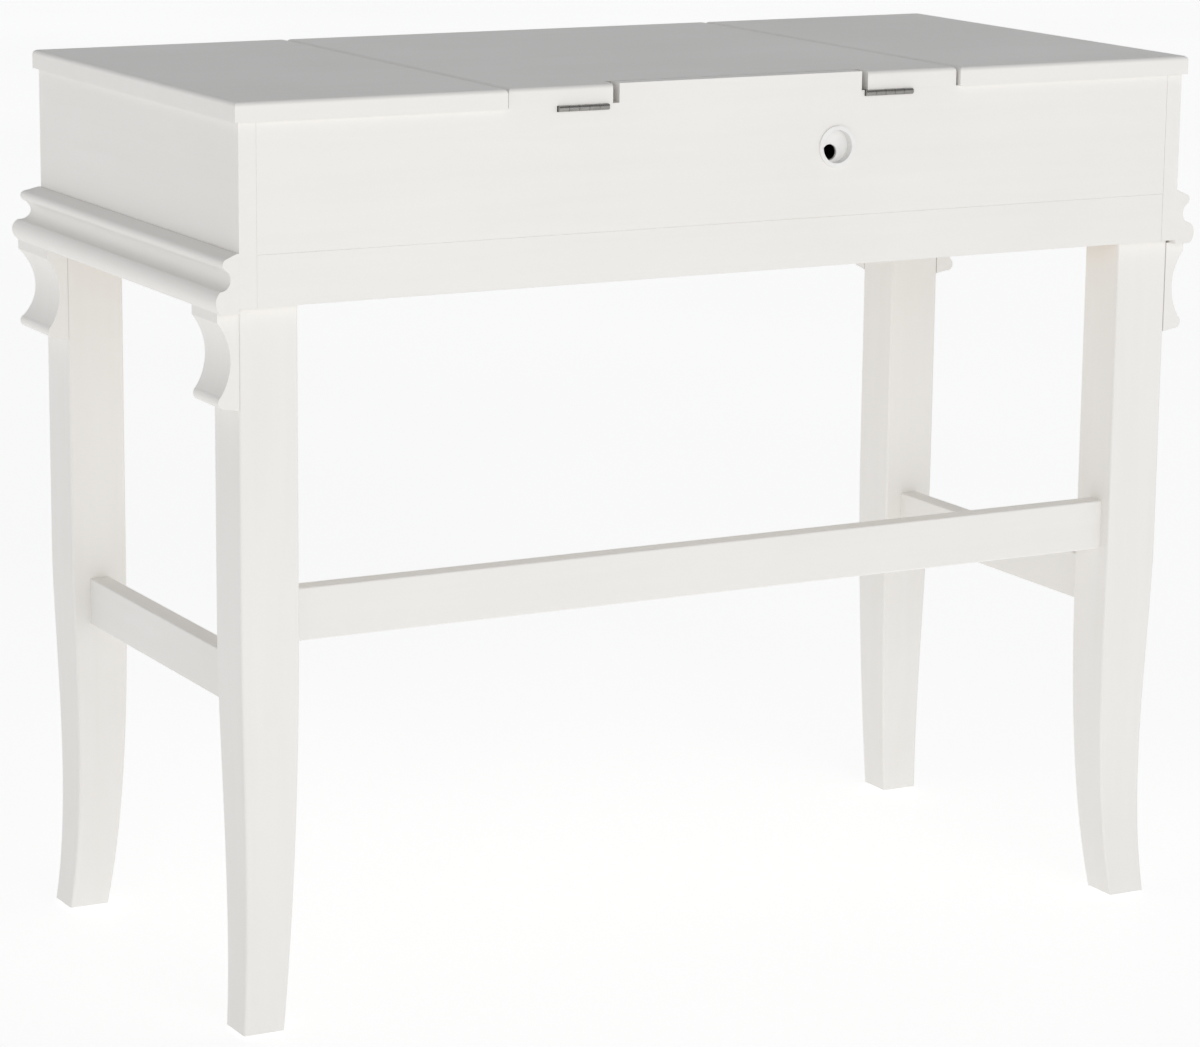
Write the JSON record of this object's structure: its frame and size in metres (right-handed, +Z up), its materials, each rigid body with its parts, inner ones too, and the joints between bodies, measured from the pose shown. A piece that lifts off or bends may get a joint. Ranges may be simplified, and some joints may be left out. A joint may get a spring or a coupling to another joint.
{
  "type": "vanity table",
  "caption": "Vanity table with a hinged middle lid that carries a mirror, sliding side lids over storage compartments, curved legs, stretchers and a cord grommet.",
  "frame": {"origin": "on the floor, under the middle of the table's overall box", "axes": "+X to the right and -Y to the front for someone sitting at the table, +Z up"},
  "size_m": [0.94, 0.4536, 0.768],
  "materials": {
    "white_paint": "white satin paint",
    "bare_wood": "bare planed wood",
    "backing_board": "pale laminated fibreboard",
    "zinc_steel": "zinc plated",
    "nickel": "satin nickel plated",
    "mirror": "silvered float glass",
    "white_plastic": "moulded satin",
    "nylon": "moulded nylon"
  },
  "bodies": {
    "case": {"block_screws": "zinc_steel", "bracket_front_face_left": "white_paint", "bracket_front_face_right": "white_paint", "bracket_front_left": "white_paint", "bracket_front_right": "white_paint", "bracket_rear_left": "white_paint", "bracket_rear_right": "white_paint", "cleat_front": "bare_wood", "cleat_left": "bare_wood", "cleat_rear": "bare_wood", "cleat_right": "bare_wood", "corner_blocks": "bare_wood", "divider_left": "white_paint", "divider_right": "white_paint", "dowels": "bare_wood", "foot_glides": "nylon", "grommet_ring": "white_plastic", "guide_rail_front_left": "bare_wood", "guide_rail_front_right": "bare_wood", "guide_rail_rear_left": "bare_wood", "guide_rail_rear_right": "bare_wood", "hinge_case_leaf_left": "nickel", "hinge_case_leaf_right": "nickel", "hinge_case_screws": "zinc_steel", "hinge_pins": "nickel", "leg_bolts": "zinc_steel", "leg_front_left": "white_paint", "leg_front_right": "white_paint", "leg_rear_left": "white_paint", "leg_rear_right": "white_paint", "leg_washers": "zinc_steel", "moulding_front": "white_paint", "moulding_left": "white_paint", "moulding_right": "white_paint", "panel_back": "white_paint", "panel_bottom": "backing_board", "panel_front": "white_paint", "panel_left": "white_paint", "panel_right": "white_paint", "rail_rear": "white_paint", "stay_pin": "zinc_steel", "stretcher_left": "white_paint", "stretcher_rear": "white_paint", "stretcher_right": "white_paint"},
    "center_lid": {"lid_center": "white_paint", "lid_screws": "zinc_steel", "mirror_frame": "white_paint", "mirror_glass": "mirror", "mirror_backing": "backing_board", "hinge_lid_leaf_right": "nickel", "hinge_lid_leaf_left": "nickel", "stay_plate": "zinc_steel", "stay_rivet": "zinc_steel"},
    "lid_stay": {"stay_arm": "zinc_steel"},
    "side_lid_right": {"lid_right": "white_paint", "slider_hooks_right": "bare_wood"},
    "side_lid_left": {"lid_left": "white_paint", "slider_hooks_left": "bare_wood"},
    "grommet_cap": {"grommet_cap": "white_plastic"}
  },
  "joints": [
    {"name": "lid_hinge", "type": "hinge", "parent": "case", "child": "center_lid", "pos_m": [0, 0.22425, 0.7495], "axis": [-1, 0, 0], "range_deg": [0, 100]},
    {"name": "stay_pivot", "type": "hinge", "parent": "center_lid", "child": "lid_stay", "pos_m": [0.2025, 0.16946, 0.74471], "axis": [-1, 0, 0], "range_deg": [-50, 0]},
    {"name": "right_lid_slide", "type": "slide", "parent": "case", "child": "side_lid_right", "axis": [1, 0, 0], "range_m": [0, 0.1495]},
    {"name": "left_lid_slide", "type": "slide", "parent": "case", "child": "side_lid_left", "axis": [-1, 0, 0], "range_m": [0, 0.1495]},
    {"name": "grommet_turn", "type": "hinge", "parent": "case", "child": "grommet_cap", "pos_m": [-0.0963, 0.22325, 0.7057], "axis": [0, 1, 0], "continuous": true}
  ],
  "couplings": [
    {"joint": "stay_pivot", "follows": "lid_hinge", "ratio": -0.5}
  ]
}
